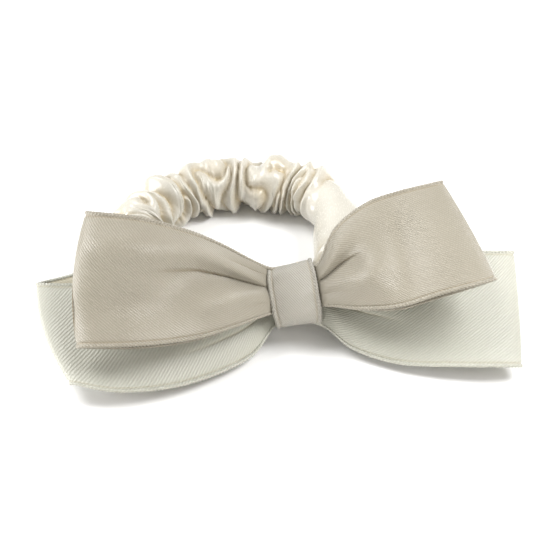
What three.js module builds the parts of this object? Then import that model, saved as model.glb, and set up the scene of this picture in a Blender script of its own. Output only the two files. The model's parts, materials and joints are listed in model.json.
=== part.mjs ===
// Bow scrunchie: two pinched ribbon loops, bound by a ribbon wrap to a gathered hair ring.
// Millimetres, +Z up, X along the bow, the hair ring lying on the table behind the bow.
import * as THREE from "three";
import { ParametricGeometry } from "three/addons/geometries/ParametricGeometry.js";

// ---- where the knot stands in the part's frame
const KNOT_X = 5.3; // the hair ring's tube, under the knot
const KNOT_Y = -10.8;
const KNOT_Z = 8.4;

// ---- the bow's own frame: a runs to the right, b up the bow, c out of its front
const LEAN = THREE.MathUtils.degToRad(40); // the bow leans back from upright
const PINCH_OUT = 7.95; // from the tube's centre out to the middle of the pinched ribbons

// ---- ribbons
const RIBBON_THICK = 0.7;
const LAYER_PITCH = 1.1; // between a ribbon's two layers where it is pinched
const FRONT_PINCH_C = 2.5;
const BACK_PINCH_C = -0.95;
const FOLD_BLUNT = 3; // how blunt a loop's fold is
const PINCH_REACH = 0.2; // the share of a loop's length that the wrap holds

// ---- thread
const THREAD_R = 0.2;
const GATHER_HALF_HEIGHT = 8.6; // a gathering thread goes once round the pinched ribbon
const GATHER_HALF_DEPTH = 1.42;
const GATHER_TURN = THREE.MathUtils.degToRad(350);
const GATHER_SQUARE = 0.35; // how square its turn is: 1 is an ellipse, 0 a box

// ---- centre wrap, a narrow ribbon round the pinched bow and the hair ring
const WRAP_WIDE = 14;
const WRAP_THICK = 0.8;
const WRAP_TILT = THREE.MathUtils.degToRad(9.5);
const WRAP_TUBE_R = 6; // inside radius behind the tube
const WRAP_PAD = { b: 9.4, c: 3.45, middle: 1.1, round: 2.6 }; // inside half sizes over the bow
const WRAP_GAP = 0.35; // between its overlapped ends
const WRAP_START = THREE.MathUtils.degToRad(-95); // its inner end, behind the tube
const WRAP_TURN = THREE.MathUtils.degToRad(415);
const CLIMB_RUN = 0.06; // the share of the wrap's length over which it climbs its own start
const CLIMB_EARLY = 0.02;
const STITCH_BARS = 7; // overcast stitches that hold the wrap's outer end
const STITCH_HALF_TURN = 0.1; // how far each one reaches to either side of the end
const STITCH_INSET = 1.5; // from the wrap's edges

// ---- hair ring
const RING_Z = 8.2;
const RING_PATH = [
  // x and y from the knot, once round the ring
  [0, 0], [8, 0.2], [13.6, 9], [13.2, 24], [12.5, 38], [4, 50], [-10, 52.8], [-25, 51.8],
  [-38, 47], [-47.5, 36], [-50, 24], [-43, 12.5], [-26, 6.3], [-9, 0.5],
];
const TUBE_R = 7.3;
const PUFF = 1.6; // how far the gathers puff out
const PUFFS = 27;
const PUFF_BLUNT = 0.7; // below 1 the puffs are round and the gathers between them sharp
const PUFF_SLANT = 0.8; // how far a gather wanders along the ring as it goes round the tube
const PUFF_DRIFT = 9; // how fast that slant turns along the ring
const PINCH_R = 3.9; // the tube's radius inside the wrap
const PINCH_HALF_LENGTH = 12;
const PINCH_RUN = 9; // the length over which it grows to its full size
const COVER_WALL = 2; // gathered cloth, several folds deep
const PINCH_WALL = 1.4;
const ELASTIC_HALF_WIDE = 2.1;
const ELASTIC_HALF_THICK = 0.6;
const ARC_GAP = 0.3;
const ARCS = {
  // where each stretch of the ring starts and ends, as shares of its length
  near: [0.85, 1.075],
  right: [0.075, 0.21],
  far: [0.21, 0.665],
  left: [0.665, 0.85],
};
const OVERLAP_AT = 0.45; // the cover's closing seam and the elastic's joined ends
const SEAM_HALF = 7.6;
const SEAM_STITCHES = 10;
const SEAM_ANGLE = 0.8 * Math.PI; // round the tube from its outer side
const SEAM_CLEAR = 0.65; // inside the cover's wall
const SEAM_ZIGZAG = 0.3;
const WHIP_TURNS = 3; // of thread round the elastic's joined ends
const WHIP_LENGTH = 4;
const WHIP_CLEAR = 0.6;

// Each loop: its top and low edges from the knot out to the fold as [a, b], the depth c of the
// fold's top and low corners, how far it opens, how far the fold bows out, and how far its rear
// layer stands above (+) or below (-) the front one at each edge.
const FRONT_LEFT = {
  top: [[0, 7.8], [-9, 7.7], [-22.4, 14.2], [-32.6, 18.3], [-45.6, 21.8], [-61, 23.5]],
  low: [[0, -7.8], [-7, -6.4], [-18, -10.1], [-30, -13.7], [-45, -15.6], [-63.7, -16.3]],
  depthTop: 15, depthLow: 24, open: 9, foldBow: -2.6, rearTop: -1, rearLow: -1.5,
};
const FRONT_RIGHT = {
  top: [[0, 7.8], [6.3, 8.1], [11, 17.5], [20, 25.3], [29.9, 29.4], [41.9, 32.3]],
  low: [[0, -7.8], [7.3, -4.2], [18.3, -4.9], [29.9, -4.4], [41.6, -0.9], [57.8, 3.5]],
  depthTop: -6, depthLow: 17, open: 8, foldBow: 0.7, rearTop: -1, rearLow: -2.4,
};
const BACK_LEFT = {
  top: [[0, 7.6], [-9, 7.4], [-26, 8.2], [-46, 6], [-64, 2.6], [-75.6, 2.6]],
  low: [[0, -7.8], [-6.3, -8.1], [-14, -18.5], [-32, -26.2], [-50, -29], [-63, -28]],
  depthTop: -3, depthLow: 17.6, open: 7, foldBow: -3.6, rearTop: 4, rearLow: 1.6,
};
const BACK_RIGHT = {
  top: [[0, 7.6], [7, 7.4], [20, 10], [35, 12], [50, 12], [62.8, 11.9]],
  low: [[0, -7.8], [9.6, -8], [16.4, -15.8], [29.9, -20.4], [47, -21.7], [65.1, -21.8]],
  depthTop: -12, depthLow: 10.6, open: 6, foldBow: 0.4, rearTop: -1, rearLow: 1.8,
};
const BELLY = 1.6; // how far a loop's middle swells out
const CREASE = 1.6; // the valley that runs out from the knot
const CREASE_SHARE = 0.16; // its half width, as a share of the ribbon's
const RIBBON_STEPS = { along: 92, across: 10 };
const COVER_SIDES = 20; // faces round the tube
const ELASTIC_SIDES = 10;

// ---- colours
const RIBBON_IVORY = 0xd9d2c2;
const RING_IVORY = 0xd6cfbd;
const THREAD_CREAM = 0xe4dccb;
const ELASTIC_WHITE = 0xeeeeea;

const group = new THREE.Group();
group.name = "bow_scrunchie";
group.position.set(KNOT_X, KNOT_Y, 0);

function cloth(color, roughness) {
  return new THREE.MeshStandardMaterial({ color, roughness, metalness: 0 });
}

const ribbonSatin = cloth(RIBBON_IVORY, 0.55);
const ringSatin = cloth(RING_IVORY, 0.45);
const thread = cloth(THREAD_CREAM, 0.7);
const elastic = cloth(ELASTIC_WHITE, 0.8);

function addPiece(name, geometry, material) {
  const mesh = new THREE.Mesh(geometry, material);
  mesh.name = name;
  group.add(mesh);
}

// A point of the bow's frame, in the frame of the knot.
function bowPoint(a, b, c) {
  const out = PINCH_OUT + c;
  const y = b * Math.sin(LEAN) - out * Math.cos(LEAN);
  const z = KNOT_Z + b * Math.cos(LEAN) + out * Math.sin(LEAN);
  return new THREE.Vector3(a, y, z);
}

// A surface that closes on itself both ways, as one closed skin facing out.
function closedSkin(pointAt, rows, columns) {
  const shape = (u, v, target) => target.copy(pointAt(u % 1, v % 1));
  return new ParametricGeometry(shape, rows, columns);
}

function edgeCurve(points) {
  const line = points.map(([a, b]) => new THREE.Vector3(a, b, 0));
  return new THREE.CatmullRomCurve3(line, false, "centripetal");
}

// The middle surface of one loop: turn runs 0 to 1 from the knot's front round the fold to its
// rear, and across runs from the low edge (0) to the top edge (1).
function loopSurface(loop, pinchC) {
  const top = edgeCurve(loop.top);
  const low = edgeCurve(loop.low);
  return (turn, across) => {
    const angle = turn * 2 * Math.PI;
    const reach = 1 - Math.abs(Math.cos(angle / 2)) ** FOLD_BLUNT;
    const flat = low.getPoint(reach).lerp(top.getPoint(reach), across);
    const clear = THREE.MathUtils.clamp((reach - PINCH_REACH) / (1 - PINCH_REACH), 0, 1);
    const rise = clear * (2 - clear);
    const swell = 4 * across * (1 - across);
    const front = turn < 0.5 ? 1 : -1;
    const behind = turn < 0.5 ? 0 : Math.sin(Math.PI * clear ** 1.5);
    const foldC = THREE.MathUtils.lerp(loop.depthLow, loop.depthTop, across);
    const apart = (loop.open / 2) * Math.sin(angle) * clear ** 0.7;
    const halfGap = (LAYER_PITCH / 2) * Math.cos(angle / 2) + apart;
    const belly = front * BELLY * swell * Math.sin(Math.PI * clear);
    const narrow = Math.exp(-(((across - 0.5) / CREASE_SHARE) ** 2));
    const valley = front * CREASE * narrow * 4 * clear * (1 - clear) ** 2;
    const a = flat.x + loop.foldBow * swell * reach ** 3;
    const b = flat.y + behind * THREE.MathUtils.lerp(loop.rearLow, loop.rearTop, across);
    const c = THREE.MathUtils.lerp(pinchC, foldC, rise) + halfGap + belly - 2 * valley;
    return bowPoint(a, b, c);
  };
}

// A ribbon sewn into a ring and pinched in the middle, so it makes a left and a right loop.
function ribbonBow(leftLoop, rightLoop, pinchC) {
  const left = loopSurface(leftLoop, pinchC);
  const right = loopSurface(rightLoop, pinchC);
  const middle = (round, across) => {
    const s = (round + 1) % 1;
    return s < 0.5 ? left(2 * s, across) : right(2 - 2 * s, across);
  };
  const acrossSteps = RIBBON_STEPS.across;
  const step = 1e-4;
  const pointAt = (u, v) => {
    const k = Math.round(v * (2 * acrossSteps + 2));
    const onFront = k <= acrossSteps;
    const across = onFront ? k / acrossSteps : (2 * acrossSteps + 1 - k) / acrossSteps;
    const along = middle(u + step, across).sub(middle(u - step, across));
    const inner = THREE.MathUtils.clamp(across, step, 1 - step);
    const over = middle(u, inner + step).sub(middle(u, inner - step));
    const normal = along.cross(over).normalize();
    return middle(u, across).addScaledVector(normal, (onFront ? 0.5 : -0.5) * RIBBON_THICK);
  };
  return closedSkin(pointAt, RIBBON_STEPS.along, 2 * acrossSteps + 2);
}

// A round thread along a curve, with flat ends.
function threadAlong(curve, steps) {
  const section = new THREE.Shape().absarc(0, 0, THREAD_R, 0, 2 * Math.PI);
  const settings = { steps, extrudePath: curve, bevelEnabled: false, curveSegments: 3 };
  return new THREE.ExtrudeGeometry(section, settings);
}

// The thread that gathers one ribbon: it goes round the pinch and leaves a short tail.
function gatherThread(pinchC) {
  const points = [];
  const corners = 28;
  const squared = (x) => Math.sign(x) * Math.abs(x) ** GATHER_SQUARE;
  for (let i = 0; i <= corners; i++) {
    const angle = (i / corners) * GATHER_TURN - Math.PI / 2;
    const b = GATHER_HALF_HEIGHT * squared(Math.cos(angle));
    const c = GATHER_HALF_DEPTH * squared(Math.sin(angle));
    points.push(bowPoint(0, b, pinchC + c));
  }
  return threadAlong(new THREE.CatmullRomCurve3(points), 44);
}

// The wrap's inside face in the (b, c) plane, a taut line round the tube and the bow.
function wrapLine(angle, offset) {
  const along = new THREE.Vector2(Math.cos(angle), Math.sin(angle));
  const tube = along.clone().multiplyScalar(WRAP_TUBE_R + offset);
  tube.y -= PINCH_OUT;
  const b = Math.sign(along.x) * (WRAP_PAD.b - WRAP_PAD.round);
  const c = WRAP_PAD.middle + Math.sign(along.y) * (WRAP_PAD.c - WRAP_PAD.round);
  const pad = along.clone().multiplyScalar(WRAP_PAD.round + offset).add(new THREE.Vector2(b, c));
  return pad.dot(along) > tube.dot(along) ? pad : tube;
}

function wrapPlace(geometry) {
  const out = new THREE.Vector3(0, -Math.cos(LEAN), Math.sin(LEAN));
  const up = new THREE.Vector3(0, Math.sin(LEAN), Math.cos(LEAN));
  const side = new THREE.Vector3(1, 0, 0);
  const place = new THREE.Matrix4().makeBasis(up, out, side);
  place.setPosition(bowPoint(0, 0, 0));
  geometry.applyMatrix4(place);
  const middle = bowPoint(0, 0, 0);
  geometry.translate(-middle.x, -middle.y, -middle.z);
  geometry.applyMatrix4(new THREE.Matrix4().makeRotationAxis(out, WRAP_TILT));
  return geometry.translate(middle.x, middle.y, middle.z);
}

// How far the wrap has climbed over its own start, so that its ends overlap and don't meet.
function wrapClimb(share) {
  const overlapFrom = (2 * Math.PI) / WRAP_TURN - CLIMB_EARLY;
  const climbed = THREE.MathUtils.smoothstep(share, overlapFrom - CLIMB_RUN, overlapFrom);
  return climbed * (WRAP_THICK + WRAP_GAP);
}

function centreWrap() {
  const steps = 84;
  const inside = [];
  const outside = [];
  for (let i = 0; i <= steps; i++) {
    const angle = WRAP_START + (WRAP_TURN * i) / steps;
    const climb = wrapClimb(i / steps);
    inside.push(wrapLine(angle, climb));
    outside.unshift(wrapLine(angle, climb + WRAP_THICK));
  }
  const section = new THREE.Shape([...outside, ...inside]);
  const geometry = new THREE.ExtrudeGeometry(section, { depth: WRAP_WIDE, bevelEnabled: false, steps: 1 });
  return wrapPlace(geometry.translate(0, 0, -WRAP_WIDE / 2));
}

// Overcast stitches, one thread run back and forth over the wrap's outer end.
function wrapEndStitches() {
  const points = [];
  const middle = WRAP_START + WRAP_TURN - 1.2 * STITCH_HALF_TURN;
  const outside = 2 * WRAP_THICK + WRAP_GAP + 2.5 * THREAD_R;
  for (let i = 0; i <= STITCH_BARS; i++) {
    const side = i % 2 ? 1 : -1;
    const at = wrapLine(middle + side * STITCH_HALF_TURN, outside);
    const across = (i / STITCH_BARS - 0.5) * (WRAP_WIDE - 2 * STITCH_INSET);
    points.push(new THREE.Vector3(at.x, at.y, across));
  }
  return wrapPlace(threadAlong(new THREE.CatmullRomCurve3(points), 42));
}

// The line that the ring's tube follows.
const ringCurve = new THREE.CatmullRomCurve3(
  RING_PATH.map(([x, y]) => new THREE.Vector3(x, y, RING_Z)), true, "centripetal",
);
const RING_LENGTH = ringCurve.getLength();

// How far the tube is pinched at a place along the ring: 1 under the wrap, 0 away from it.
function pinchAt(share) {
  const away = Math.abs(share - Math.round(share)) * RING_LENGTH;
  return 1 - THREE.MathUtils.smoothstep(away, PINCH_HALF_LENGTH, PINCH_HALF_LENGTH + PINCH_RUN);
}

// The ring's centre, and the two directions across its tube, at a share of its length.
function ringFrame(share) {
  const at = ((share % 1) + 1) % 1;
  const centre = ringCurve.getPointAt(at);
  centre.z += pinchAt(share) * (KNOT_Z - RING_Z);
  const along = ringCurve.getTangentAt(at);
  return { centre, out: new THREE.Vector3(along.y, -along.x, 0).normalize() };
}

function tubePoint(share, angle, out, up) {
  const frame = ringFrame(share);
  const point = frame.centre.addScaledVector(frame.out, out * Math.cos(angle));
  point.z += up * Math.sin(angle);
  return point;
}

function coverRadius(share, angle) {
  const slant = PUFF_SLANT * Math.sin(angle + PUFF_DRIFT * share);
  const gather = Math.abs(Math.sin(Math.PI * PUFFS * share + slant));
  const full = TUBE_R + PUFF * gather ** PUFF_BLUNT;
  return THREE.MathUtils.lerp(full, PINCH_R, pinchAt(share));
}

// One stretch of the cover: gathered outside, smooth inside, open at both ends, flat underneath.
function coverArc([start, end], outerSteps) {
  const trim = ARC_GAP / 2 / RING_LENGTH;
  const innerSteps = Math.ceil(outerSteps / 3);
  const total = outerSteps + innerSteps + 2;
  const pointAt = (u, v) => {
    const k = Math.round(u * total);
    const onOutside = k <= outerSteps;
    const along = onOutside ? k / outerSteps : (total - 1 - k) / innerSteps;
    const share = THREE.MathUtils.lerp(start + trim, end - trim, along);
    const angle = 2 * Math.PI * v;
    if (onOutside) {
      const radius = coverRadius(share, angle);
      const point = tubePoint(share, angle, radius, radius);
      point.z = Math.max(point.z, 0);
      return point;
    }
    const inside = THREE.MathUtils.lerp(TUBE_R - COVER_WALL, PINCH_R - PINCH_WALL, pinchAt(share));
    return tubePoint(share, angle, inside, inside);
  };
  return closedSkin(pointAt, total, COVER_SIDES);
}

// One stretch of the flat elastic inside the cover.
function elasticArc([start, end], steps) {
  const trim = ARC_GAP / 2 / RING_LENGTH;
  const pointAt = (u, v) => {
    const along = THREE.MathUtils.clamp((u * (steps + 2) - 1) / steps, 0, 1);
    const share = THREE.MathUtils.lerp(start + trim, end - trim, along);
    const capped = u <= 0 || u >= 1 ? 0 : 1;
    return tubePoint(share, 2 * Math.PI * v, capped * ELASTIC_HALF_THICK, capped * ELASTIC_HALF_WIDE);
  };
  const shape = (u, v, target) => target.copy(pointAt(u, v % 1));
  return new ParametricGeometry(shape, steps + 2, ELASTIC_SIDES);
}

// Whipping thread round the elastic, where its two ends are lapped and sewn.
function elasticJoinThread() {
  const points = [];
  const perTurn = 10;
  const out = ELASTIC_HALF_THICK + WHIP_CLEAR;
  const up = ELASTIC_HALF_WIDE + WHIP_CLEAR;
  for (let i = 0; i <= WHIP_TURNS * perTurn; i++) {
    const angle = (2 * Math.PI * i) / perTurn;
    const along = (i / (WHIP_TURNS * perTurn) - 0.5) * WHIP_LENGTH;
    points.push(tubePoint(OVERLAP_AT + along / RING_LENGTH, angle, out, up));
  }
  return threadAlong(new THREE.CatmullRomCurve3(points), WHIP_TURNS * 14);
}

// The hand-sewn seam that closes the cover's tube, along the inside of its underside.
function coverClosingThread() {
  const points = [];
  for (let i = 0; i <= SEAM_STITCHES; i++) {
    const along = (i / SEAM_STITCHES - 0.5) * 2 * SEAM_HALF;
    const radius = TUBE_R - COVER_WALL - SEAM_CLEAR - (i % 2) * SEAM_ZIGZAG;
    points.push(tubePoint(OVERLAP_AT + along / RING_LENGTH, SEAM_ANGLE, radius, radius));
  }
  return threadAlong(new THREE.CatmullRomCurve3(points), 40);
}

addPiece("front_ribbon", ribbonBow(FRONT_LEFT, FRONT_RIGHT, FRONT_PINCH_C), ribbonSatin);
addPiece("back_ribbon", ribbonBow(BACK_LEFT, BACK_RIGHT, BACK_PINCH_C), ribbonSatin);
addPiece("front_gather_thread", gatherThread(FRONT_PINCH_C), thread);
addPiece("back_gather_thread", gatherThread(BACK_PINCH_C), thread);
addPiece("centre_wrap", centreWrap(), ribbonSatin);
addPiece("wrap_end_stitches", wrapEndStitches(), thread);
addPiece("cover_near", coverArc(ARCS.near, 34), ringSatin);
addPiece("cover_right", coverArc(ARCS.right, 24), ringSatin);
addPiece("cover_far", coverArc(ARCS.far, 60), ringSatin);
addPiece("cover_left", coverArc(ARCS.left, 26), ringSatin);
addPiece("elastic_near", elasticArc(ARCS.near, 16), elastic);
addPiece("elastic_right", elasticArc(ARCS.right, 10), elastic);
addPiece("elastic_far", elasticArc(ARCS.far, 24), elastic);
addPiece("elastic_left", elasticArc(ARCS.left, 10), elastic);
addPiece("elastic_join_thread", elasticJoinThread(), thread);
addPiece("cover_closing_thread", coverClosingThread(), thread);

export default group;
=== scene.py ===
"""Looks for the bow scrunchie: satin ribbon bow, ribbon wrap and gathered satin hair ring."""
import json
import math

import bmesh
import bpy
import numpy as np
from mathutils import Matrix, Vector


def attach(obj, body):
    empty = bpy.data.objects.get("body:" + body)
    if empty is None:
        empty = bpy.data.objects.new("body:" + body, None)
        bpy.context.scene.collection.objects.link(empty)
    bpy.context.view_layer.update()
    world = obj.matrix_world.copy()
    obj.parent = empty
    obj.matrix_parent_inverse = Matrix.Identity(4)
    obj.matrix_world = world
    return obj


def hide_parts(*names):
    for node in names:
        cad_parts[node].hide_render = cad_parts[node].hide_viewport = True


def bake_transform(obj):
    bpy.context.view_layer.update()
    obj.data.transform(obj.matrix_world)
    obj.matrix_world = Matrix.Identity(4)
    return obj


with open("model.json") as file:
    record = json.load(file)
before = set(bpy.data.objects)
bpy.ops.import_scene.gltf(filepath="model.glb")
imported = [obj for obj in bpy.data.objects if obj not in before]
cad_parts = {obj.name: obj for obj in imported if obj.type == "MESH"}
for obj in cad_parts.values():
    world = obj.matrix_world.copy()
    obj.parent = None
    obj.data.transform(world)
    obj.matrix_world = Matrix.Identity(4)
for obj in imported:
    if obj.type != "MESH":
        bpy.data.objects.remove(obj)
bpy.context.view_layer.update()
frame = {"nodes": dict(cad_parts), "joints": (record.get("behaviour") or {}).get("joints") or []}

MM = 0.001
SWIVEL = [j for j in frame["joints"] if j["name"] == "bow_swivel"][0]["pos_m"]
KNOT = np.array(SWIVEL) / MM  # the ring's tube, under the knot, in mm

# ---- the bow's own frame: a runs right, b up the bow, c out of its front, all in mm
LEAN = math.radians(40)
PINCH_OUT = 7.95
CAMERA_BACK = 378.0  # from the knot to the camera
CAMERA_LENS = 85.0
AIM_A = -6.25  # where the camera looks, in the bow's frame
AIM_B = 4.8
FLOOR_WIDE = 80.0  # in metres

# ---- ribbon
RIBBON_WIDE = 40.0
RIBBON_THICK = 0.45
LAYER_PITCH = 1.0
FRONT_PINCH_C = 2.5
BACK_PINCH_C = -0.95
FOLD_BLUNT = 3.0
RIBBON_ROWS, RIBBON_COLUMNS = 380, 78
BEAD_PITCH = 0.95
BEAD_R = 0.55
BEAD_SWELL = 0.16  # of its radius, in and out along the row
BEAD_IN = 0.8  # of its radius, from the strip's edge to the row's middle
BEAD_FLAT = 0.85  # its height for its width
BEAD_SIDES = 8
BEAD_STEPS = 4
FEWEST_BEADS = 8
EDGE_COLUMNS = (0.0, 0.5, 0.9, 1.15, 1.35, 1.55, 1.8, 2.3)  # close together at the groove
INSIDE_FROM = 2.8
GROOVE_IN = 1.35
GROOVE_DEEP = 0.2
GROOVE_HALF = 0.22
GROOVE_SHADE = 0.3  # painted shade: how dark the colour is in the groove
GROOVE_SHADE_HALF = 0.3
INNER_SHADE = 0.5  # painted shade: how dark the colour is on a strip's inner side

# ---- wrap
WRAP_WIDE = 14.2
WRAP_THICK = 0.8
WRAP_TILT = math.radians(9.5)
WRAP_FAN = 0.035  # how much more it tilts, for each mm up
WRAP_TUBE_R = 6.0
WRAP_PAD = {"b": 8.6, "c": 3.05, "middle": 1.1, "round": 2.3}
WRAP_SHIFT = (-0.8, -0.7)  # of its middle, a and b
WRAP_EDGE = 7.1  # from its middle to its edges, where the loops start to open
WRAP_START = math.radians(-95)
WRAP_TURN = math.radians(415)
WRAP_STRIP_THICK = 0.5
WRAP_TRIAL_ROWS, WRAP_ROWS, WRAP_COLUMNS = 900, 320, 14
WRAP_SMOOTHING = 14  # passes that round off its line
LAP_RISE = 0.35  # beyond its thickness, where its end climbs over its start
LAP_CLIMB = (0.08, 0.02)  # of its length before the lap, where it climbs
WRAP_NARROW = 0.09  # how much narrower it is over the top and under the bottom
WRAP_WAIST = 0.3
WRAP_BULGE = 0.9
WRAP_BULGE_BACK = 0.4
WRAP_SOFT = 0.16  # height of its soft unevenness

# ---- hair ring
RING_PATH = [  # x and y from the knot, once round the ring
    (0, 0), (8, 0.2), (13.6, 9), (13.2, 24), (12.5, 38), (4, 51), (-10, 54.3), (-25, 53.3),
    (-38, 48), (-47.5, 36), (-50, 24), (-43, 12.5), (-26, 6.3), (-9, 0.5),
]
RING_Z = 8.2
PINCH_HALF_LENGTH = 9.0  # of the ring held small by the wrap
PINCH_RUN = 14.0
LEFT_TAPER = 0.68  # slower on the left, where a back loop lies close over the ring
COVER_WIDE = 47.0  # cloth round the tube
COVER_GATHER = 1.45  # length of cloth for each length of ring
COVER_THICK = 0.3
COVER_ROWS, COVER_COLUMNS = 380, 40
COVER_SEED = 7
COVER_R = 9.5  # out to the tops of most gathers
COVER_MOST_R = 10.0
PINCHED_R = 3.9
GATHERS = 33.0  # folds across the tube, once round the ring
GATHER_HIGH = 4.4
GATHER_ROUND = 0.5  # 1 is a round wave, less is a fuller puff with a sharper crease
GATHER_WANDER = 0.6
GATHER_LEAN = 0.5
GATHER_BRANCHES = 26
BRANCH_WIDE = 0.6
PUCKER = 0.25
SMOOTH_STRETCH = (0.12, 0.16, 0.27, 0.31)  # of the ring's length, hardly gathered
SMOOTH_GATHER = 0.5
SMOOTH_HIGH = 0.25
TABLE_GAP = 0.3
CORE_R = 2.6
CORE_ROWS, CORE_SIDES = 300, 12
SIM_SCALE = 100.0  # the cloth is simulated this much larger than life
SIM_FRAMES = 5
CLOTH_STRETCH = 60.0
CLOTH_SHEAR = 15.0
CLOTH_BEND = 0.1
CLOTH_PRESSURE = 0.4
CLOTH_GAP = 0.02
CLOTH_SELF_GAP = 0.03
HELD_ROWS = 3  # at each end of the cloth, held still
ELASTIC_HALF_WIDE = 2.1
ELASTIC_HALF_THICK = 0.6
ELASTIC_ROWS, ELASTIC_SIDES = 240, 16

# ---- tone
SHADE_TINT = (0.80, 0.66, 0.42)  # what cloth under painted shade is multiplied by


def bow_point(a, b, c):
    """World points in metres, from the bow's frame in mm."""
    out = PINCH_OUT + c
    x = KNOT[0] + a
    y = KNOT[1] + b * math.sin(LEAN) - out * math.cos(LEAN)
    z = KNOT[2] + b * math.cos(LEAN) + out * math.sin(LEAN)
    return np.stack(np.broadcast_arrays(x, y, z), -1) * MM


def seen_point(a, b, c):
    """As bow_point, but a and b are where the point appears from the front, whatever its depth."""
    near = (CAMERA_BACK - c) / CAMERA_BACK
    return bow_point(AIM_A + (a - AIM_A) * near, AIM_B + (b - AIM_B) * near, c)


def smooth(x, low=0.0, high=1.0):
    t = np.clip((x - low) / (high - low), 0.0, 1.0)
    return t * t * (3.0 - 2.0 * t)


def values_along(values, share):
    """Evenly spaced values, joined by straight lines, at a share of the way along them."""
    return np.interp(share, np.linspace(0, 1, len(values)), values)


def spline(points, u):
    """A smooth line through evenly spaced control points, at shares u of its length."""
    p = np.array(points, float)
    p = np.vstack([2 * p[:1] - p[1:2], p, 2 * p[-1:] - p[-2:-1]])
    spans = len(p) - 3
    x = np.clip(np.asarray(u, float) * spans, 0, spans - 1e-9)
    i = x.astype(int)
    t = (x - i)[..., None]
    p0, p1, p2, p3 = p[i], p[i + 1], p[i + 2], p[i + 3]
    return 0.5 * (
        2 * p1
        + (p2 - p0) * t
        + (2 * p0 - 5 * p1 + 4 * p2 - p3) * t**2
        + (3 * p1 - p0 - 3 * p2 + p3) * t**3
    )


# Each loop: edges as (a, b) from the knot to the fold; c of the fold's top and low corners; how
# far the loop opens; how far its fold bows out; how far the rear layer's edges stand from the
# front one's. A crease runs out from the wrap: its line across the ribbon, its depth and its half
# width along it, how deep its narrow cut is, how far the pleat above laps over it, and where it
# ends. A dent has its middle as (reach, across), its depth and its half sizes.
FRONT_LEFT = dict(
    top=[(0, 7.1), (-9, 7.5), (-22.4, 14.2), (-32.6, 18.3), (-45.6, 21.8), (-61, 23.5)],
    low=[(0, -7.8), (-7, -6.4), (-18, -10.1), (-30, -13.7), (-45, -15.6), (-63.7, -16.3)],
    top_c=16, low_c=21, open=10.5, fold_bow=-2.6, rear_top=-1, rear_low=-0.8, belly=2.0, puff=2.0,
    creases=[
        dict(line=(0.56, 0.60, 0.64, 0.60, 0.54), depth=(1.6, 3.4, 3.6, 2.6, 1.2),
             half=(0.06, 0.10, 0.16, 0.24, 0.34), cut=0.7, lap=0.9, end=0.74),
        dict(line=(0.80, 0.84), depth=(0.5, 0.1), half=(0.06, 0.08), cut=0.2, lap=0.0, end=0.3),
        dict(line=(0.24, 0.18), depth=(0.6, 0.1), half=(0.08, 0.10), cut=0.1, lap=0.0, end=0.35),
    ],
    dents=[
        dict(at=(0.80, 0.28), depth=2.8, half=(0.26, 0.20)),
        dict(at=(0.40, 0.30), depth=-2.6, half=(0.18, 0.16)),
        dict(at=(0.76, 0.76), depth=-2.6, half=(0.30, 0.15)),
    ],
)
FRONT_RIGHT = dict(
    top=[(0, 7.1), (6.3, 8.4), (11, 18.5), (20, 25.9), (29.9, 29.4), (41.9, 32.3)],
    low=[(0, -7.8), (7.3, -4.2), (18.3, -4.9), (29.9, -4.4), (41.6, -0.9), (57.8, 3.5)],
    top_c=-6, low_c=17, open=8, fold_bow=0.7, rear_top=-1, rear_low=-0.8, belly=2.2, puff=2.3,
    creases=[
        dict(line=(0.62, 0.60, 0.60), depth=(1.6, 3.0, 1.4),
             half=(0.06, 0.10, 0.20), cut=0.7, lap=0.9, end=0.38),
        dict(line=(0.28, 0.22), depth=(0.5, 0.1), half=(0.07, 0.10), cut=0.1, lap=0.0, end=0.3),
    ],
    dents=[
        dict(at=(0.70, 0.50), depth=3.0, half=(0.10, 0.36)),
        dict(at=(0.50, 0.36), depth=-2.8, half=(0.13, 0.18)),
        dict(at=(0.34, 0.84), depth=-1.0, half=(0.14, 0.12)),
    ],
)
BACK_LEFT = dict(
    top=[(0, 6.9), (-9, 7.2), (-26, 8.2), (-46, 6), (-64, 2.6), (-75.6, 2.6)],
    low=[(0, -7.8), (-6.3, -9.8), (-14, -19.4), (-32, -26.9), (-51, -29.1), (-65.5, -26.8)],
    top_c=-3, low_c=17.6, open=8, fold_bow=-2.6, rear_top=4.4, rear_low=1.6, belly=0.8, puff=0.4,
    creases=[
        dict(line=(0.30, 0.22), depth=(1.4, 0.3), half=(0.07, 0.16), cut=0.4, lap=0.2, end=0.6),
    ],
    dents=[dict(at=(0.8, 0.3), depth=0.5, half=(0.15, 0.2))],
)
BACK_RIGHT = dict(
    top=[(0, 6.9), (7, 7.2), (20, 10), (35, 12), (50, 12), (62.8, 11.9)],
    low=[(0, -7.8), (8.2, -10.4), (16.4, -16.8), (29.9, -21.0), (47, -21.7), (65.1, -21.8)],
    top_c=-12, low_c=10.6, open=6, fold_bow=0.4, rear_top=-1, rear_low=1.8, belly=0.8, puff=0.4,
    creases=[
        dict(line=(0.46, 0.36), depth=(1.4, 0.3), half=(0.07, 0.16), cut=0.4, lap=0.2, end=0.5),
    ],
    dents=[dict(at=(0.6, 0.3), depth=0.6, half=(0.12, 0.2))],
)
CUT_HALF = 0.45  # half width of a crease's narrow cut, in mm


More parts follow.
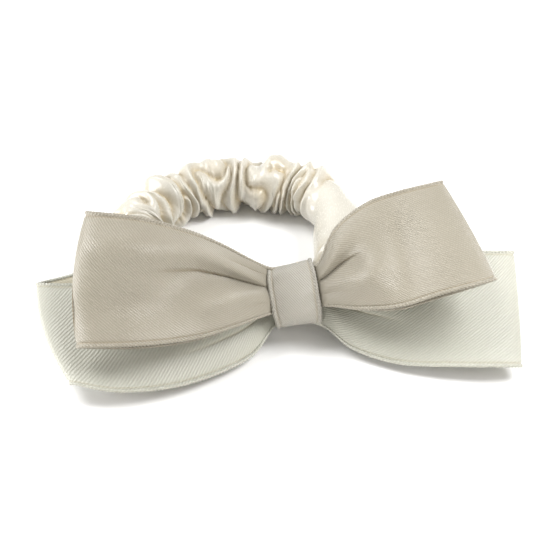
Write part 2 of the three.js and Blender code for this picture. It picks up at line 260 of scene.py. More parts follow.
def crease_relief(crease, clear, across):
    """How far one crease sinks the ribbon, and how deep in its narrow cut a point is, which sets
    the painted shade there.
    """
    run = np.clip(clear / crease["end"], 0, 1)
    line = values_along(crease["line"], run)
    off = (across - line) / values_along(crease["half"], run)
    narrow = np.exp(-(((across - line) * RIBBON_WIDE / CUT_HALF) ** 2))
    shape = smooth(clear, 0, 0.04) * (1 - smooth(run, 0.65, 1.0))
    broad = values_along(crease["depth"], run) * np.exp(-np.where(off > 0, 1.3, 0.6) * off**2)
    lap = crease["lap"] * smooth(off, -0.12, 0.12) * np.exp(-0.5 * off**2)
    fade = 1 - smooth(run, 0.3, 0.95)
    return shape * (broad - lap + crease["cut"] * narrow * fade), shape * narrow * fade


def loop_surface(loop, pinch_c, turn, across):
    """Points a, b, c of one loop, and painted shade where its creases cut in. turn runs 0 to 1 from
    the knot's front round the fold to its rear, and across from the low edge to the top edge."""
    angle = turn * 2 * math.pi
    reach = 1 - np.abs(np.cos(angle / 2)) ** FOLD_BLUNT
    low = spline(loop["low"], reach)
    top = spline(loop["top"], reach)
    t = across
    a = low[..., 0] * (1 - t) + top[..., 0] * t
    b = low[..., 1] * (1 - t) + top[..., 1] * t
    fold_a = loop["low"][-1][0] * (1 - t) + loop["top"][-1][0] * t
    edge = WRAP_EDGE + np.sign(fold_a) * (WRAP_SHIFT[0] - math.tan(WRAP_TILT) * b)
    clear = np.clip((np.abs(a) - edge) / (np.abs(fold_a) - edge), 0, 1)
    rise = clear * (2 - clear)
    swell = 4 * t * (1 - t)
    behind = np.where(turn < 0.5, 0.0, np.sin(math.pi * clear**1.5))
    fold_c = loop["low_c"] * (1 - t) + loop["top_c"] * t
    half_gap = LAYER_PITCH / 2 * np.cos(angle / 2) + loop["open"] / 2 * np.sin(angle) * clear**0.7
    belly = loop["belly"] * swell * np.sin(math.pi * clear)
    puff = loop["puff"] * (0.35 + 0.65 * swell**0.5)
    puff = puff * smooth(clear, -0.03, 0.05) * (1 - smooth(clear, 0.1, 0.7))
    valley = 0.0
    shade = 0.0
    for crease in loop["creases"]:
        sunk, cut = crease_relief(crease, clear, t)
        valley = valley + sunk
        # painted shade along the crease's narrow cut
        shade = shade + cut * min(1.0, crease["cut"])
    for dent in loop["dents"]:
        along = (reach - dent["at"][0]) / dent["half"][0]
        over = (t - dent["at"][1]) / dent["half"][1]
        valley = valley + dent["depth"] * np.exp(-(along**2) - over**2)
    relief = np.where(turn < 0.5, 1.0, -0.4) * (belly + puff - valley)
    a = a + loop["fold_bow"] * swell * reach**3
    b = b + behind * (loop["rear_low"] * (1 - t) + loop["rear_top"] * t)
    c = pinch_c + (fold_c - pinch_c) * rise + half_gap + relief
    return a, b, c, np.where(turn < 0.5, shade, 0.0)


def ribbon_grid(left, right, pinch_c, around, across):
    """The ribbon's middle surface as an (around, across, 3) grid in metres, closed along its
    length, and the painted shade in the creases' cuts at each point."""
    s = np.arange(around) / around
    t = np.asarray(across)[None, :]
    on_left = s < 0.5
    turn = np.where(on_left, 2 * s, 2 - 2 * s)[:, None]
    turns = np.broadcast_to(turn, (around, t.size))
    sides = zip(loop_surface(left, pinch_c, turns, t), loop_surface(right, pinch_c, turns, t))
    a, b, c, shade = (np.where(on_left[:, None], on_side, other) for on_side, other in sides)
    return seen_point(a, b, c), shade


def grid_normals(grid, closed):
    if closed:
        along = np.roll(grid, -1, 0) - np.roll(grid, 1, 0)
    else:
        along = np.gradient(grid, axis=0)
    over = np.gradient(grid, axis=1)
    normal = np.cross(along, over)
    return normal / np.maximum(np.linalg.norm(normal, axis=-1, keepdims=True), 1e-12)


class Builder:
    """Collects grids of points as quads with UVs in metres, then makes one mesh object."""

    def __init__(self):
        self.points, self.faces, self.uvs, self.shades, self.count = [], [], [], [], 0

    def add(self, grid, uv, wrap_rows, wrap_columns, capped=True, shade=0.0):
        rows, columns = grid.shape[:2]
        self.shades.append(np.broadcast_to(shade, (rows, columns)).ravel())
        index = np.arange(rows * columns).reshape(rows, columns) + self.count
        last_row = rows if wrap_rows else rows - 1
        last_column = columns if wrap_columns else columns - 1
        i = np.arange(last_row)[:, None]
        j = np.arange(last_column)[None, :]
        i2, j2 = (i + 1) % rows, (j + 1) % columns
        corners = (index[i, j], index[i, j2], index[i2, j2], index[i2, j])
        quad = np.stack(np.broadcast_arrays(*corners), -1)
        full = np.zeros((rows + 1, columns + 1, 2))
        full[: uv.shape[0], : uv.shape[1]] = uv
        corner = np.stack([full[i, j], full[i, j + 1], full[i + 1, j + 1], full[i + 1, j]], 2)
        self.points.append(grid.reshape(-1, 3))
        self.faces.append(quad.reshape(-1, 4))
        self.uvs.append(corner.reshape(-1, 2))
        if capped and wrap_columns and not wrap_rows:
            self.cap(index[0], full[0], False)
            self.cap(index[-1], full[rows - 1], True)
        self.count += rows * columns

    def cap(self, index, uv, turned):
        """Closes the end of a tube or strip, whose points run round it, with a row of quads."""
        n = len(index)
        k = np.arange(n // 2 - 1)
        order = np.stack([k, n - 1 - k, n - 2 - k, k + 1], -1)
        if turned:
            order = order[:, ::-1]
        self.faces.append(index[order])
        self.uvs.append(uv[order].reshape(-1, 2))

    def make(self, name, material):
        mesh = bpy.data.meshes.new(name)
        faces = np.vstack(self.faces)
        mesh.from_pydata(np.vstack(self.points).tolist(), [], faces.tolist())
        layer = mesh.uv_layers.new(name="Cloth")
        layer.data.foreach_set("uv", np.vstack(self.uvs).ravel())
        # the Shade attribute is painted shade: how much each point's colour is darkened and warmed
        depth = mesh.attributes.new("Shade", "FLOAT", "POINT")
        depth.data.foreach_set("value", np.concatenate(self.shades))
        mesh.polygons.foreach_set("use_smooth", [True] * len(mesh.polygons))
        mesh.materials.append(material)
        shell = bmesh.new()
        shell.from_mesh(mesh)
        bmesh.ops.recalc_face_normals(shell, faces=shell.faces)
        shell.to_mesh(mesh)
        shell.free()
        obj = bpy.data.objects.new(name, mesh)
        bpy.context.collection.objects.link(obj)
        return obj


def lengths_along(line, closed):
    """Distance along a line of points, one more value than points if it is closed."""
    step = np.linalg.norm(np.diff(np.vstack([line, line[:1]]) if closed else line, axis=0), axis=1)
    return np.concatenate([[0], np.cumsum(step)])


def strip_shares(width, coarse):
    """Where the columns of a strip stand across it: close together at the grooves by its edges."""
    edge = np.array(EDGE_COLUMNS)
    inside = np.linspace(INSIDE_FROM, width - INSIDE_FROM, coarse)
    return np.concatenate([edge, inside, width - edge[::-1]]) / width


def add_strip(build, grid, shares, thick, width, closed=True, shade=0.0):
    """A strip of cloth with thickness, from its middle surface, grooved beside its edges. Its
    colour has painted shade, darkened by a set amount in the grooves and all over its inner side."""
    normal = grid_normals(grid, closed)
    columns = grid.shape[1]
    run = lengths_along(grid[:, columns // 2], closed)
    cross = shares * width
    near_edge = np.minimum(cross, width - cross)
    groove = GROOVE_DEEP * np.exp(-(((near_edge - GROOVE_IN) / GROOVE_HALF) ** 2))
    half = (np.full(columns, thick / 2) - groove)[None, :, None] * MM
    inner, outer = grid + normal * half, grid - normal * half
    ring = np.concatenate([outer, inner[:, ::-1]], 1)
    v = np.concatenate([cross, cross[::-1], cross[:1]]) * MM
    uv = np.stack(np.broadcast_arrays(run[:, None], v[None, :]), -1)
    # painted shade: a darker line along each groove
    line = GROOVE_SHADE * np.exp(-(((near_edge - GROOVE_IN) / GROOVE_SHADE_HALF) ** 2))
    outer_shade = np.minimum(shade + line[None, :] + np.zeros(grid.shape[:2]), 1.0)
    # painted shade all over the inner side, where little light reaches
    inner_shade = np.full(grid.shape[:2], INNER_SHADE)
    build.add(ring, uv, closed, True, shade=np.concatenate([outer_shade, inner_shade], 1))


def add_selvedge(build, grid, side, radius, closed=True):
    """A row of small woven beads along one edge of a strip."""
    normal = grid_normals(grid, closed)
    column = 0 if side == "low" else -1
    inner = 1 if side == "low" else -2
    line, into, up = grid[:, column], grid[:, inner] - grid[:, column], normal[:, column]
    into = into / np.linalg.norm(into, axis=-1, keepdims=True)
    run = lengths_along(line, closed)
    beads = max(FEWEST_BEADS, round(run[-1] / (BEAD_PITCH * MM)))
    samples = beads * BEAD_STEPS
    at = np.arange(samples) / samples * run[-1] if closed else np.linspace(0, run[-1], samples)

    def even(values):
        full = np.vstack([values, values[:1]]) if closed else values
        return np.stack([np.interp(at, run, full[:, k]) for k in range(3)], -1)

    line, into, up = even(line), even(into), even(up)
    phase = 2 * math.pi * at / run[-1] * beads
    size = radius * MM * (1 + BEAD_SWELL * np.cos(phase))
    centre = line + into * radius * MM * BEAD_IN
    ring = (np.arange(BEAD_SIDES) / BEAD_SIDES * 2 * math.pi)[None, :, None]
    around = into[:, None] * np.cos(ring) + up[:, None] * np.sin(ring) * BEAD_FLAT
    points = centre[:, None] + around * size[:, None, None]
    v = np.arange(BEAD_SIDES + 1) / BEAD_SIDES * 2 * math.pi * radius * MM
    steps = np.concatenate([at, run[-1:]]) if closed else at
    uv = np.stack(np.broadcast_arrays(steps[:, None], v[None, :]), -1)
    build.add(points, uv, closed, True)


# ---- materials
def new_material(name):
    material = bpy.data.materials.new(name)
    material.use_nodes = True
    tree = material.node_tree
    return material, tree, tree.nodes["Principled BSDF"]


def add_node(tree, kind, **inputs):
    node = tree.nodes.new(kind)
    for key, value in inputs.items():
        if hasattr(node, key):
            setattr(node, key, value)
        else:
            node.inputs[key.replace("_", " ")].default_value = value
    return node


def math_node(tree, operation, first, second=None, third=None):
    node = tree.nodes.new("ShaderNodeMath")
    node.operation = operation
    for i, value in enumerate((first, second, third)):
        if value is None:
            continue
        if isinstance(value, (int, float)):
            node.inputs[i].default_value = value
        else:
            tree.links.new(value, node.inputs[i])
    return node.outputs[0]


def tone_of_cloth(tree, shader, tone, light, dark):
    """Base colour between two tones, made warmer and darker by painted shade from the mesh."""
    mix = add_node(tree, "ShaderNodeMix", data_type="RGBA")
    mix.inputs["A"].default_value = (*dark, 1)
    mix.inputs["B"].default_value = (*light, 1)
    tree.links.new(tone, mix.inputs["Factor"])
    # painted shade: how much the mesh darkens and warms each point
    painted_shade_amount = add_node(tree, "ShaderNodeAttribute", attribute_name="Shade").outputs["Fac"]
    painted_shade_mix = add_node(tree, "ShaderNodeMix", data_type="RGBA", blend_type="MULTIPLY")
    painted_shade_mix.inputs["B"].default_value = (*SHADE_TINT, 1)
    tree.links.new(painted_shade_amount, painted_shade_mix.inputs["Factor"])
    tree.links.new(mix.outputs["Result"], painted_shade_mix.inputs["A"])
    tree.links.new(painted_shade_mix.outputs["Result"], shader.inputs["Base Color"])


def cloth_uv(tree):
    """Lengths along and across the cloth, in metres."""
    uv = add_node(tree, "ShaderNodeUVMap", uv_map="Cloth").outputs[0]
    split = tree.nodes.new("ShaderNodeSeparateXYZ")
    tree.links.new(uv, split.inputs[0])
    return split.outputs[0], split.outputs[1]


def noise(tree, scale, detail, vector):
    node = add_node(tree, "ShaderNodeTexNoise", Scale=scale, Detail=detail)
    tree.links.new(vector, node.inputs["Vector"])
    return node.outputs[0]


def twill_material(name, light, dark, slant, pitch, rough):
    """Satin twill: ribs at a slant in degrees and a pitch in mm across the cloth's UVs, with yarn
    noise and soft blotches of tone that follow the object."""
    material, tree, shader = new_material(name)
    along, across = cloth_uv(tree)
    place = tree.nodes.new("ShaderNodeTexCoord").outputs["Object"]
    wobble = noise(tree, 900.0, 3.0, place)
    lean = math.radians(slant)
    ux = math_node(tree, "MULTIPLY", along, math.cos(lean) / (pitch * MM))
    uy = math_node(tree, "MULTIPLY", across, math.sin(lean) / (pitch * MM))
    shift = math_node(tree, "MULTIPLY", wobble, 0.7)
    turns = math_node(tree, "ADD", math_node(tree, "ADD", ux, uy), shift)
    rib = math_node(tree, "SINE", math_node(tree, "MULTIPLY", turns, 2 * math.pi))
    rib = math_node(tree, "MULTIPLY_ADD", rib, 0.5, 0.5)
    yarn = noise(tree, 2600.0, 2.0, place)
    height = math_node(tree, "MULTIPLY_ADD", yarn, 0.6, rib)
    bump = add_node(tree, "ShaderNodeBump", Strength=0.45, Distance=0.00022)
    tree.links.new(height, bump.inputs["Height"])
    tree.links.new(bump.outputs[0], shader.inputs["Normal"])
    cloud = noise(tree, 45.0, 2.0, place)
    tone = math_node(tree, "MULTIPLY_ADD", rib, 0.46, math_node(tree, "MULTIPLY", cloud, 0.54))
    tone_of_cloth(tree, shader, tone, light, dark)
    gloss = math_node(tree, "MULTIPLY_ADD", yarn, 0.18, rough - 0.09)
    tree.links.new(gloss, shader.inputs["Roughness"])
    shader.inputs["Sheen Weight"].default_value = 0.25
    shader.inputs["Sheen Roughness"].default_value = 0.4
    shader.inputs["Specular IOR Level"].default_value = 0.45
    return material


def satin_material(name, light, dark, rough, gloss_level=0.6):
    """Smooth satin: fine warp lines along the cloth, a silky gloss and faint blotches of tone."""
    material, tree, shader = new_material(name)
    along, across = cloth_uv(tree)
    place = tree.nodes.new("ShaderNodeTexCoord").outputs["Object"]
    stretched = tree.nodes.new("ShaderNodeCombineXYZ")
    tree.links.new(math_node(tree, "MULTIPLY", along, 0.25), stretched.inputs[0])
    tree.links.new(across, stretched.inputs[1])
    yarn = noise(tree, 4200.0, 2.0, stretched.outputs[0])
    bump = add_node(tree, "ShaderNodeBump", Strength=0.16, Distance=0.0001)
    tree.links.new(yarn, bump.inputs["Height"])
    tree.links.new(bump.outputs[0], shader.inputs["Normal"])
    cloud = noise(tree, 120.0, 3.0, place)
    tone = math_node(tree, "MULTIPLY_ADD", yarn, 0.3, math_node(tree, "MULTIPLY", cloud, 0.7))
    tone_of_cloth(tree, shader, tone, light, dark)
    gloss = math_node(tree, "MULTIPLY_ADD", yarn, 0.16, rough - 0.08)
    tree.links.new(gloss, shader.inputs["Roughness"])
    shader.inputs["Sheen Weight"].default_value = 0.2
    shader.inputs["Specular IOR Level"].default_value = gloss_level
    return material


# The front and back ribbons are one cream 40 mm ribbon. The front one's colour is painted darker,
# and the back one's is painted lighter and a little greener. This stands in for the light each
# layer gets and the shade the front loops cast on the back.
front_twill_painted_darker = twill_material(
    "front_twill_painted_darker", (0.345, 0.318, 0.262), (0.22, 0.199, 0.155), slant=-44, pitch=0.7, rough=0.36
)
back_twill_painted_lighter = twill_material(
    "back_twill_painted_lighter", (0.485, 0.484, 0.425), (0.35, 0.349, 0.298), slant=44, pitch=0.8, rough=0.38
)
wrap_satin = twill_material(
    "wrap_satin", (0.38, 0.362, 0.322), (0.255, 0.242, 0.207), slant=55, pitch=0.55, rough=0.36
)
ring_satin = satin_material("ring_satin", (0.56, 0.54, 0.48), (0.48, 0.455, 0.395), 0.26)
elastic_knit = satin_material("elastic_knit", (0.85, 0.85, 0.84), (0.70, 0.70, 0.69), 0.7, 0.3)
thread_twist = satin_material("thread_twist", (0.60, 0.56, 0.48), (0.50, 0.46, 0.38), 0.55, 0.4)


# ---- camera, light and floor
def make_camera():
    data = bpy.data.cameras.new("camera")
    data.lens = CAMERA_LENS
    camera = bpy.data.objects.new("camera", data)
    bpy.context.collection.objects.link(camera)
    aim = Vector(bow_point(AIM_A, AIM_B, 0.0))
    back = Vector((0, -math.cos(LEAN), math.sin(LEAN)))
    camera.location = aim + back * CAMERA_BACK * MM
    camera.rotation_euler = (-back).to_track_quat("-Z", "Y").to_euler()
    bpy.context.scene.camera = camera


def area_light(name, location, size, power, colour):
    """A square lamp that faces the middle of the floor."""
    data = bpy.data.lights.new(name, "AREA")
    data.size = size
    data.energy = power
    data.color = colour
    light = bpy.data.objects.new(name, data)
    bpy.context.collection.objects.link(light)
    light.location = location
    light.rotation_euler = (-light.location).to_track_quat("-Z", "Y").to_euler()


def make_window(direction, strength, spread):
    """Soft daylight from far away, which lights the whole floor evenly."""
    data = bpy.data.lights.new("window", "SUN")
    data.energy = strength
    data.angle = spread
    light = bpy.data.objects.new("window", data)
    bpy.context.collection.objects.link(light)
    light.rotation_euler = Vector(direction).to_track_quat("Z", "Y").to_euler()


def make_floor():
    bpy.ops.mesh.primitive_plane_add(size=FLOOR_WIDE, location=(0, 0, 0))
    floor = bpy.context.object
    floor.name = "floor"
    material, _, shader = new_material("floor_paper")
    shader.inputs["Base Color"].default_value = (0.92, 0.92, 0.92, 1)
    shader.inputs["Roughness"].default_value = 0.9
    floor.data.materials.append(material)


def make_world():
    world = bpy.data.worlds.new("studio")
    bpy.context.scene.world = world
    world.use_nodes = True
    world.node_tree.nodes["Background"].inputs[0].default_value = (1.0, 0.98, 0.94, 1)
    world.node_tree.nodes["Background"].inputs[1].default_value = 0.36


WHITE = (1.0, 1.0, 1.0)
WARM = (1.0, 0.94, 0.82)
LAMPS = {  # position, size, power and colour
    "low_front": ((0.0, -0.65, 0.14), 0.4, 1.3, WARM),
    "front_right": ((0.45, -0.45, 0.40), 0.5, 0.5, WHITE),
    "low_left": ((-0.62, -0.10, 0.12), 0.3, 4.2, WHITE),
    "low_right": ((0.60, -0.20, 0.15), 0.5, 0.5, WARM),
    "near_right": ((0.25, 0.0, 0.30), 0.2, 1.6, WHITE),
}
WINDOW_FROM = (-0.40, 0.20, 0.60)
WINDOW_STRENGTH = 2.3
WINDOW_SPREAD = math.radians(35)

make_camera()
make_world()
make_floor()
make_window(WINDOW_FROM, WINDOW_STRENGTH, WINDOW_SPREAD)
for lamp_name, (place, size, power, colour) in LAMPS.items():
    area_light(lamp_name, place, size, power, colour)
bpy.context.scene.view_settings.view_transform = "Standard"


# ---- ribbons
def make_ribbon(name, left, right, pinch_c, material, node):
    shares = strip_shares(RIBBON_WIDE, RIBBON_COLUMNS)
    grid, shade = ribbon_grid(left, right, pinch_c, RIBBON_ROWS, shares)
    build = Builder()
    add_strip(build, grid, shares, RIBBON_THICK, RIBBON_WIDE, shade=shade)
    add_selvedge(build, grid, "low", BEAD_R)
    add_selvedge(build, grid, "top", BEAD_R)
    obj = build.make(name, material)
    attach(obj, "bow")
    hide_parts(node)


# ---- centre wrap
def wrap_line(angle, offset):
    """The wrap's line in the (b, c) plane, taut round the tube and the pinched bow."""
    along = np.stack([np.cos(angle), np.sin(angle)], -1)
    tube = along * (WRAP_TUBE_R + offset)[..., None]
    tube[..., 1] -= PINCH_OUT
    pad = along * (WRAP_PAD["round"] + offset)[..., None]
    pad[..., 0] += np.sign(along[..., 0]) * (WRAP_PAD["b"] - WRAP_PAD["round"])
    pad[..., 1] += WRAP_PAD["middle"] + np.sign(along[..., 1]) * (WRAP_PAD["c"] - WRAP_PAD["round"])
    on_pad = (pad * along).sum(-1) > (tube * along).sum(-1)
    return np.where(on_pad[..., None], pad, tube)


def even_line(points, count):
    run = lengths_along(points, False)
    at = np.linspace(0, run[-1], count)
    return np.stack([np.interp(at, run, points[:, k]) for k in range(points.shape[1])], -1)


def wrap_place(a, b, c):
    """From the wrap's own untilted frame to the world."""
    tilt = WRAP_TILT * (1 + WRAP_FAN * b)
    across = a * np.cos(tilt) - b * math.sin(WRAP_TILT) + WRAP_SHIFT[0]
    up = a * np.sin(tilt) + b * math.cos(WRAP_TILT) + WRAP_SHIFT[1]
    return seen_point(across, up, c)


def make_wrap(material):
    share = np.linspace(0, 1, WRAP_TRIAL_ROWS)
    angle = WRAP_START + WRAP_TURN * share
    lap = 2 * math.pi / WRAP_TURN
    climb = smooth(share, lap - LAP_CLIMB[0], lap - LAP_CLIMB[1]) * (WRAP_THICK + LAP_RISE)
    line = even_line(wrap_line(angle, climb + WRAP_THICK / 2), WRAP_ROWS)
    for _ in range(WRAP_SMOOTHING):
        line[1:-1] = line[1:-1] * 0.5 + (line[:-2] + line[2:]) * 0.25
    shares = strip_shares(WRAP_WIDE, WRAP_COLUMNS)
    t = shares[None, :] - 0.5
    b, c = line[:, :1], line[:, 1:]
    over = smooth(np.abs(b), 4.0, 10.0)
    front = smooth(c, 1.0, 4.0)
    a = -t * WRAP_WIDE * (1 - WRAP_NARROW * over)
    waist = WRAP_WAIST * (1 - 4 * t**2) * over * np.sign(b)
    crown = (1 - (b / 10) ** 2) + (1 - 4 * t**2)
    bulge = front * (WRAP_BULGE * crown - WRAP_BULGE_BACK)
    soft = WRAP_SOFT * np.sin(b * 0.9 + t * 7.0 + 0.6) * np.sin(b * 0.35 - 1.0) * front
    grid = wrap_place(a, b - waist, c + bulge + soft)
    build = Builder()
    add_strip(build, grid, shares, WRAP_STRIP_THICK, WRAP_WIDE, closed=False)
    add_selvedge(build, grid, "low", BEAD_R, closed=False)
    add_selvedge(build, grid, "top", BEAD_R, closed=False)
    obj = build.make("centre_wrap_ribbon", material)
    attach(obj, "bow")
    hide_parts("centre_wrap")


# ---- hair ring
def ring_line(shares):
    """The ring's middle line, in mm in the world, and the direction out of the ring, at shares of
    its length from the knot."""
    loop = RING_PATH[-2:] + RING_PATH + RING_PATH[:3]
    u = (2 + np.linspace(0, len(RING_PATH), 4001)) / (len(loop) - 1)
    dense = spline(loop, u)
    run = lengths_along(dense, False)
    at = np.asarray(shares) * run[-1]
    tangent = np.gradient(dense, axis=0)
    x, y = (np.interp(at, run, dense[:, k]) for k in range(2))
    tx, ty = (np.interp(at, run, tangent[:, k]) for k in range(2))
    size = np.hypot(tx, ty)
    away = np.minimum(shares, (1 - shares) * LEFT_TAPER) * run[-1]
    full = smooth(away, PINCH_HALF_LENGTH, PINCH_HALF_LENGTH + PINCH_RUN)
    z = RING_Z + (1 - full) * (KNOT[2] - RING_Z)
    middle = np.stack([KNOT[0] + x, KNOT[1] + y, z], -1)
    out = np.stack([ty / size, -tx / size, np.zeros_like(tx)], -1)
    return middle, out, full, run[-1]


def ring_tube(shares, out_r, up_r, angle):
    middle, out, _, _ = ring_line(shares)
    side = out[:, None] * (out_r * np.cos(angle))[..., None]
    up = np.array([0, 0, 1]) * (up_r * np.sin(angle))[..., None]
    return middle[:, None] + side + up


def wander_map(random, u, angle, slow, fast, modes=30):
    """A smooth random field over the cover, mostly between -1 and 1."""
    field = np.zeros((u.size, angle.size))
    for _ in range(modes):
        start = random.uniform(0, 2 * math.pi)
        often = random.uniform(slow, fast)
        round_tube = random.integers(-2, 3)
        field += np.sin(2 * math.pi * often * u[:, None] + round_tube * angle[None, :] + start)
    return field / math.sqrt(modes)


def cover_start():
    """The gathered cover: rows round the tube at even steps of its cloth. Gives its points in mm,
    the length of its cloth, each column's angle and a painted shade for how deep in a crease each
    point is."""
    share = np.linspace(0, 1, 2001)
    plain = smooth(share, *SMOOTH_STRETCH[:2]) * (1 - smooth(share, *SMOOTH_STRETCH[2:]))
    cloth = np.cumsum(1 - (1 - SMOOTH_GATHER) * plain)
    cloth = (cloth - cloth[0]) / (cloth[-1] - cloth[0])
    u = np.linspace(0, 1, COVER_ROWS)
    along = np.interp(u, cloth, share)
    plain = np.interp(along, share, plain)[:, None]
    angle = np.arange(COVER_COLUMNS) / COVER_COLUMNS * 2 * math.pi
    random = np.random.default_rng(COVER_SEED)
    wander = wander_map(random, u, angle, 2, 12)
    swell = wander_map(random, u, angle, 5, 22)
    back = wander[::-1]
    fold = math.pi * (GATHERS * u[:, None] + GATHER_WANDER * wander)
    for _ in range(GATHER_BRANCHES):
        at = random.uniform(0.03, 0.97)
        side = random.uniform(0, 2 * math.pi)
        turned = random.choice([-1, 1])
        across = np.sin(angle[None, :] - side) * BRANCH_WIDE
        fold = fold + turned * 0.5 * np.arctan2(across, (u[:, None] - at) * GATHERS)
    fold = fold + GATHER_LEAN * np.tanh(2.2 * back[:, ::-1]) * np.sin(fold) ** 2
    puff = np.abs(np.sin(fold)) ** GATHER_ROUND
    pucker = np.abs(np.sin(math.pi * (2.3 * GATHERS * u[:, None] + 1.2 * back)))
    high = GATHER_HIGH * np.clip(0.88 + 0.28 * swell, 0.45, 1.25)
    base = COVER_R - GATHER_HIGH + 0.45 * wander[:, ::-1]
    base = base + 0.55 * GATHER_HIGH * (1 - SMOOTH_HIGH) * plain
    puffed = base + high * (1 - (1 - SMOOTH_HIGH) * plain) * puff + PUCKER * pucker * (1 - plain)
    full = ring_line(along)[2][:, None]
    radius = PINCHED_R + (np.minimum(puffed, COVER_MOST_R) - PINCHED_R) * full
    points = ring_tube(along, radius, radius, angle[None, :])
    points[..., 2] = np.maximum(points[..., 2], TABLE_GAP)
    # painted shade in the creases between the gathers
    crease = (1 - puff) * full * (1 - plain)
    return points, ring_line(np.array([0.0]))[3] * COVER_GATHER, angle, crease


def tube_faces(rows, columns):
    i = np.arange(rows - 1)[:, None]
    j = np.arange(columns)[None, :]
    j2 = (j + 1) % columns
    corners = [i * columns + j, (i + 1) * columns + j, (i + 1) * columns + j2, i * columns + j2]
    return np.stack(np.broadcast_arrays(*corners), -1).reshape(-1, 4).tolist()


def temporary(name, points, faces):
    mesh = bpy.data.meshes.new(name)
    mesh.from_pydata((points.reshape(-1, 3) * MM * SIM_SCALE).tolist(), [], faces)
    obj = bpy.data.objects.new(name, mesh)
    bpy.context.collection.objects.link(obj)
    return obj


def make_collider(obj):
    obj.modifiers.new("Collision", "COLLISION")
    obj.collision.thickness_outer = CLOTH_GAP
    obj.collision.cloth_friction = 5.0


def settled_cover(points, length, angle):
    """The cover's cloth in mm, after a few frames of cloth simulation round a plain core that
    stands for the elastic, on a table, with self collision."""
    rows, columns = points.shape[:2]
    place = np.linspace(0, length, rows)
    cloth = temporary("cover_cloth", points, tube_faces(rows, columns))
    cut_r = COVER_WIDE / (2 * math.pi)
    cut = np.broadcast_arrays(place[:, None], cut_r * np.cos(angle), cut_r * np.sin(angle))
    cloth.shape_key_add(name="Basis")
    rest = cloth.shape_key_add(name="cut")
    rest.data.foreach_set("co", (np.stack(cut, -1) * MM * SIM_SCALE).ravel())
    rest.value = 0
    held = cloth.vertex_groups.new(name="held")
    ends = list(range(HELD_ROWS * columns))
    ends = ends + list(range((rows - HELD_ROWS) * columns, rows * columns))
    held.add(ends, 1.0, "REPLACE")
    around = np.arange(CORE_SIDES)[None, :] / CORE_SIDES * 2 * math.pi
    core_r = np.full((1, CORE_SIDES), CORE_R)
    core_points = ring_tube(np.linspace(0, 1, CORE_ROWS), core_r, core_r, around)
    core = temporary("cover_core", core_points, tube_faces(CORE_ROWS, CORE_SIDES))
    corner = np.array([[-1, -1, 0], [1, -1, 0], [1, 1, 0], [-1, 1, 0]])
    table = temporary("cover_table", corner * 300.0, [[0, 1, 2, 3]])
    make_collider(core)
    make_collider(table)
    modifier = cloth.modifiers.new("Cloth", "CLOTH")
    satin = modifier.settings
    satin.quality = 5
    satin.mass = 0.3
    satin.tension_stiffness = CLOTH_STRETCH
    satin.compression_stiffness = CLOTH_STRETCH
    satin.shear_stiffness = CLOTH_SHEAR
    satin.bending_stiffness = CLOTH_BEND
    satin.bending_damping = 0.5
    satin.air_damping = 3
    satin.use_pressure = True
    satin.uniform_pressure_force = CLOTH_PRESSURE
    satin.vertex_group_mass = "held"
    satin.rest_shape_key = rest
    satin.effector_weights.gravity = 0
    touch = modifier.collision_settings
    touch.distance_min = CLOTH_GAP
    touch.collision_quality = 2
    touch.use_self_collision = True
    touch.self_distance_min = CLOTH_SELF_GAP
    touch.self_friction = 2
    scene = bpy.context.scene
    scene.frame_start = 1
    modifier.point_cache.frame_end = SIM_FRAMES
    for step in range(1, SIM_FRAMES + 1):
        scene.frame_set(step)
    settled = cloth.evaluated_get(bpy.context.evaluated_depsgraph_get()).to_mesh()
    out = np.empty(len(settled.vertices) * 3)
    settled.vertices.foreach_get("co", out)
    scene.frame_set(1)
    for obj in (cloth, core, table):
        mesh = obj.data
        bpy.data.objects.remove(obj)
        bpy.data.meshes.remove(mesh)
    return out.reshape(rows, columns, 3) / SIM_SCALE / MM


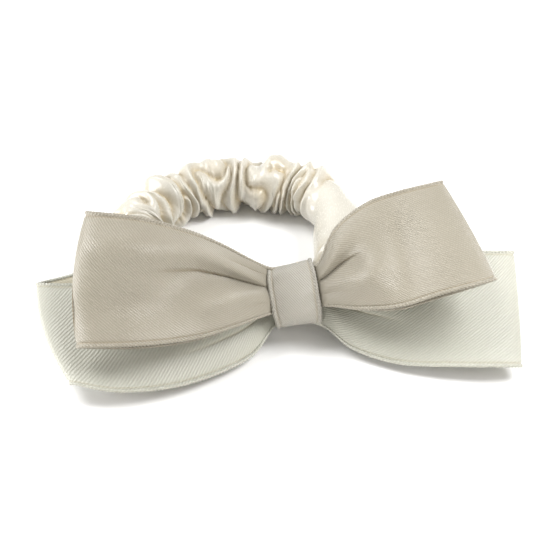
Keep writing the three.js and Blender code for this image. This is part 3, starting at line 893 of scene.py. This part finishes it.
def make_cover(material):
    points, length, angle, crease = cover_start()
    points = settled_cover(points, length, angle)
    place = np.linspace(0, length, COVER_ROWS)
    uv = np.zeros((COVER_ROWS, COVER_COLUMNS + 1, 2))
    uv[..., 0] = place[:, None] * MM
    uv[..., 1] = np.linspace(0, COVER_WIDE, COVER_COLUMNS + 1) * MM
    build = Builder()
    build.add(points[:, ::-1] * MM, uv, False, True, capped=False, shade=crease[:, ::-1])
    obj = build.make("ring_cover", material)
    fine = obj.modifiers.new("Fine", "SUBSURF")
    fine.levels = fine.render_levels = 1
    wall = obj.modifiers.new("Wall", "SOLIDIFY")
    wall.thickness = COVER_THICK * MM
    wall.offset = -1
    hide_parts("cover_near", "cover_right", "cover_far", "cover_left")
    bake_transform(obj)


def make_elastic(material):
    angle = np.arange(ELASTIC_SIDES) / ELASTIC_SIDES * 2 * math.pi
    shares = np.arange(ELASTIC_ROWS) / ELASTIC_ROWS
    out_r = np.full((1, ELASTIC_SIDES), ELASTIC_HALF_THICK)
    up_r = np.full((1, ELASTIC_SIDES), ELASTIC_HALF_WIDE)
    points = ring_tube(shares, out_r, up_r, angle[None, :])
    length = ring_line(np.array([0.0]))[3]
    uv = np.zeros((ELASTIC_ROWS + 1, ELASTIC_SIDES + 1, 2))
    uv[..., 0] = np.linspace(0, length, ELASTIC_ROWS + 1)[:, None] * MM
    uv[..., 1] = np.linspace(0, 4 * ELASTIC_HALF_WIDE, ELASTIC_SIDES + 1) * MM
    build = Builder()
    build.add(points[:, ::-1] * MM, uv, True, True)
    obj = build.make("ring_elastic", material)
    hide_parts("elastic_near", "elastic_right", "elastic_far", "elastic_left")
    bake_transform(obj)


make_ribbon(
    "front_ribbon_loops", FRONT_LEFT, FRONT_RIGHT, FRONT_PINCH_C, front_twill_painted_darker,
    "front_ribbon",
)
make_ribbon(
    "back_ribbon_loops", BACK_LEFT, BACK_RIGHT, BACK_PINCH_C, back_twill_painted_lighter,
    "back_ribbon",
)
make_wrap(wrap_satin)
make_cover(ring_satin)
make_elastic(elastic_knit)
THREADS = (
    "front_gather_thread", "back_gather_thread", "wrap_end_stitches",
    "elastic_join_thread", "cover_closing_thread",
)
for thread_name in THREADS:
    thread_mesh = frame["nodes"][thread_name].data
    thread_mesh.materials.clear()
    thread_mesh.materials.append(thread_twist)
